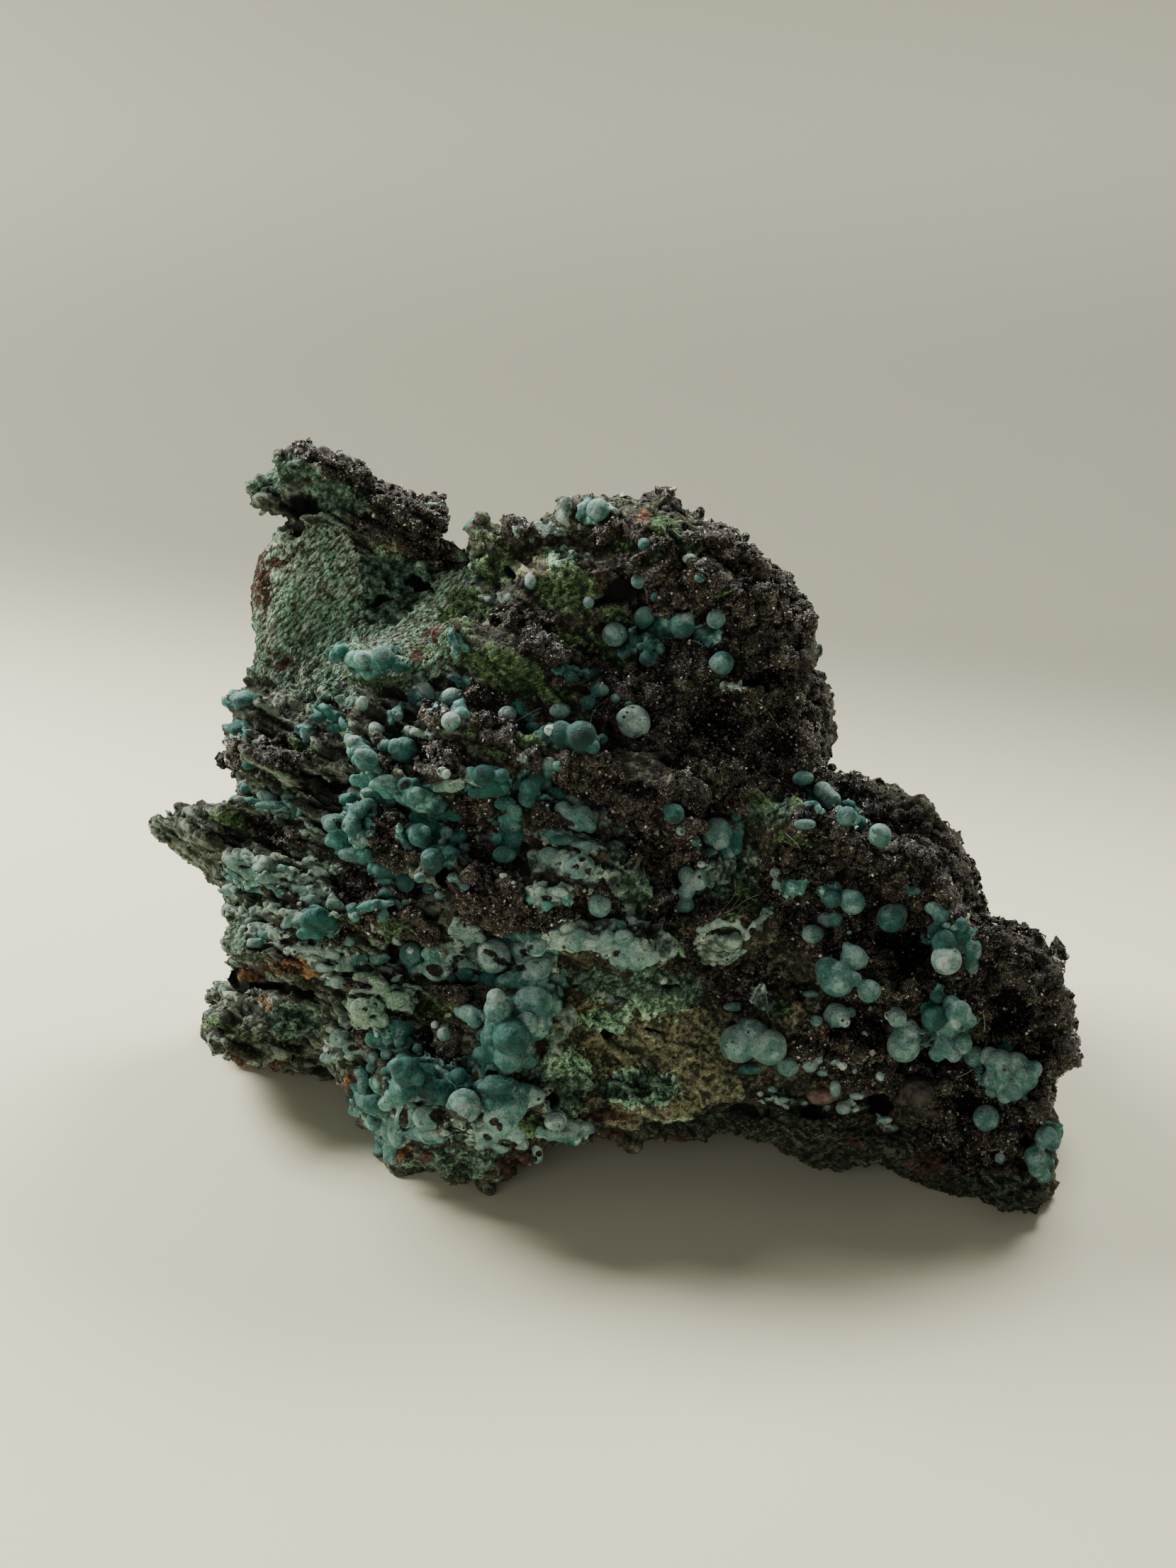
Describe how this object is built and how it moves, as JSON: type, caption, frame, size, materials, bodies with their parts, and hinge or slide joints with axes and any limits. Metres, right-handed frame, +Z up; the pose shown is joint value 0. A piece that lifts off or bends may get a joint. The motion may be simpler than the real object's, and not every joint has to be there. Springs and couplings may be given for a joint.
{
  "type": "mineral specimen",
  "caption": "Loose mineral specimen: a craggy layered limonite rock crusted with black plattnerite knobs and rounded blue-green rosasite balls and botryoidal lobes.",
  "frame": {"origin": "middle of the bounding box at the plane the feet rest on", "axes": "+X to the right of the crusted front face, +Z up, the front face towards -Y"},
  "size_m": [0.1314, 0.086, 0.0902],
  "materials": {
    "plattnerite_rock": "rough broken rock under a dark sparkling crust",
    "rosasite": "smooth to velvety blue-green mineral"
  },
  "bodies": {
    "root": {"matrix": "plattnerite_rock", "rosasite_ball_high_left": "rosasite", "rosasite_ball_high_middle": "rosasite", "rosasite_ball_white_cap": "rosasite", "rosasite_ball_high_right": "rosasite", "rosasite_ball_shoulder": "rosasite", "rosasite_ball_pale_centre": "rosasite", "rosasite_lobe_dark_teal": "rosasite", "rosasite_ball_left": "rosasite", "rosasite_ball_bright_left": "rosasite", "rosasite_lobe_centre_left": "rosasite", "rosasite_lobe_ridge": "rosasite", "rosasite_lobe_left_low": "rosasite", "rosasite_ball_half_moon": "rosasite", "rosasite_ball_dark": "rosasite", "rosasite_lobe_tooth": "rosasite", "rosasite_grapes": "rosasite", "rosasite_bean": "rosasite", "rosasite_ball_rim": "rosasite", "rosasite_balls_slope": "rosasite", "rosasite_ball_half_sunk": "rosasite", "rosasite_balls_grey": "rosasite", "rosasite_cluster_great": "rosasite", "rosasite_ball_white": "rosasite", "rosasite_lobe_half_ring": "rosasite", "rosasite_botryoid_right": "rosasite", "rosasite_scallops_right": "rosasite", "rosasite_crescent": "rosasite", "rosasite_lobes_end": "rosasite", "rosasite_double_lobe": "rosasite", "rosasite_ball_white_spot": "rosasite", "rosasite_ball_cleft": "rosasite", "rosasite_lobe_pale": "rosasite", "rosasite_mass_front": "rosasite", "rosasite_lobe_deep_teal": "rosasite", "rosasite_lobe_grey": "rosasite", "rosasite_lobe_foot": "rosasite"}
  },
  "joints": []
}
